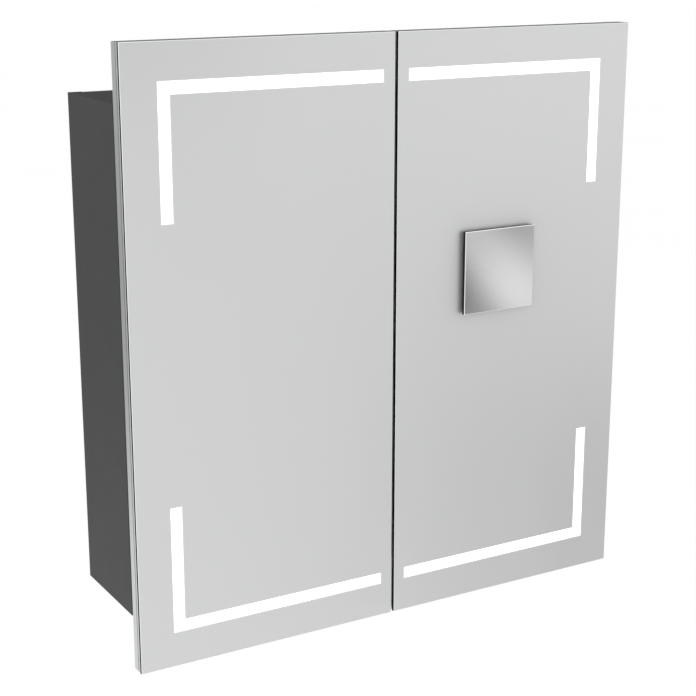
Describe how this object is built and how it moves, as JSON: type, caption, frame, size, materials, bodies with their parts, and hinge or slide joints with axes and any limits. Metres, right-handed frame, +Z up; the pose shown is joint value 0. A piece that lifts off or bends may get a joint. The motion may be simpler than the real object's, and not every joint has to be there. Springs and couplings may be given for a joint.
{
  "type": "medicine cabinet with mirror",
  "caption": "Wall-hung bathroom cabinet with full-height mirror doors, L-shaped corner light windows and a small magnetic mirror.",
  "frame": {"origin": "centre of the back face, which lies against the wall", "axes": "+Y into the wall, -Y out of the doors' front, +Z up, +X to the right seen from the front"},
  "size_m": [0.662, 0.161, 0.7],
  "materials": {
    "body_finish": "moisture-proof board with a satin anthracite foil",
    "back_finish": "board with a light grey satin foil",
    "fitting_zinc": "die-cast zinc, dull",
    "shelf_glass": "clear float glass with polished edges",
    "peg_metal": "nickel plated",
    "bay_metal": "satin anodised sheet",
    "screw_steel": "zinc plated",
    "grommet_rubber": "matt",
    "fitting_white": "moulded, semi-gloss",
    "button_cap": "moulded, semi-gloss",
    "driver_plastic": "moulded, fine texture",
    "circuit": "circuit board",
    "terminal_plastic": "moulded",
    "hinge_steel": "nickel-plated pressed steel",
    "door_mirror": "silvered glass with polished edges",
    "inner_mirror": "silvered glass",
    "frame_aluminium": "satin anodised",
    "tape_foam": "closed-cell foam tape",
    "light_window": "opal acrylic, satin face, lit from behind",
    "led_board": "white lamp board",
    "lead_bush_rubber": "matt",
    "buffer_silicone": "translucent silicone",
    "magnet_steel": "zinc plated",
    "vanity_mirror_glass": "silvered glass with a bevelled edge",
    "vanity_tray": "black, semi-gloss",
    "magnet": "nickel plated",
    "felt": "thin felt"
  },
  "bodies": {
    "cabinet": {"side_panel_left": "body_finish", "side_panel_right": "body_finish", "top_panel": "body_finish", "bottom_panel": "body_finish", "back_panel": "back_finish", "upper_rail": "back_finish", "lower_rail": "back_finish", "cam_locks": "fitting_zinc", "cam_pins": "fitting_zinc", "shelf_upper": "shelf_glass", "shelf_lower": "shelf_glass", "shelf_pegs": "peg_metal", "bay_front": "bay_metal", "bay_floor": "bay_metal", "bay_screws": "screw_steel", "hinge_screws": "screw_steel", "mains_grommet": "grommet_rubber", "bay_grommets": "grommet_rubber", "shaver_socket": "fitting_white", "button_housing": "fitting_white", "driver_case": "driver_plastic", "driver_lid": "driver_plastic", "driver_board": "circuit", "terminal_block": "terminal_plastic", "left_hinge_arms": "hinge_steel", "left_hinge_plates": "hinge_steel", "right_hinge_arms": "hinge_steel", "right_hinge_plates": "hinge_steel"},
    "left_door": {"left_glass": "door_mirror", "left_mounting_tape": "tape_foam", "left_frame_stiles": "frame_aluminium", "left_frame_rails": "frame_aluminium", "left_door_back": "inner_mirror", "left_window_top": "light_window", "left_window_bottom": "light_window", "left_led_boards": "led_board", "left_hinge_housings": "hinge_steel", "left_hinge_pins": "hinge_steel", "left_housing_screws": "screw_steel", "left_lead_bush": "lead_bush_rubber", "left_buffers": "buffer_silicone"},
    "right_door": {"right_glass": "door_mirror", "right_mounting_tape": "tape_foam", "right_frame_stiles": "frame_aluminium", "right_frame_rails": "frame_aluminium", "right_door_back": "inner_mirror", "right_window_top": "light_window", "right_window_bottom": "light_window", "right_led_boards": "led_board", "right_hinge_housings": "hinge_steel", "right_hinge_pins": "hinge_steel", "right_housing_screws": "screw_steel", "right_lead_bush": "lead_bush_rubber", "right_buffers": "buffer_silicone", "magnet_plate": "magnet_steel"},
    "light_button": {"light_button": "button_cap"},
    "vanity_mirror": {"vanity_glass": "vanity_mirror_glass", "vanity_backing": "vanity_tray", "vanity_magnets": "magnet", "vanity_pad": "felt"}
  },
  "joints": [
    {"name": "left_door_hinge", "type": "hinge", "parent": "cabinet", "child": "left_door", "pos_m": [-0.326, -0.1435, 0], "axis": [0, 0, -1], "range_deg": [0, 95]},
    {"name": "right_door_hinge", "type": "hinge", "parent": "cabinet", "child": "right_door", "pos_m": [0.326, -0.1435, 0], "axis": [0, 0, 1], "range_deg": [0, 95]},
    {"name": "light_button_press", "type": "slide", "parent": "cabinet", "child": "light_button", "axis": [0, 1, 0], "range_m": [0, 0.002], "stiffness_N_per_m": 400},
    {"name": "vanity_mirror_pull", "type": "slide", "parent": "right_door", "child": "vanity_mirror", "axis": [0, -1, 0], "range_m": [0, 0.06]}
  ]
}
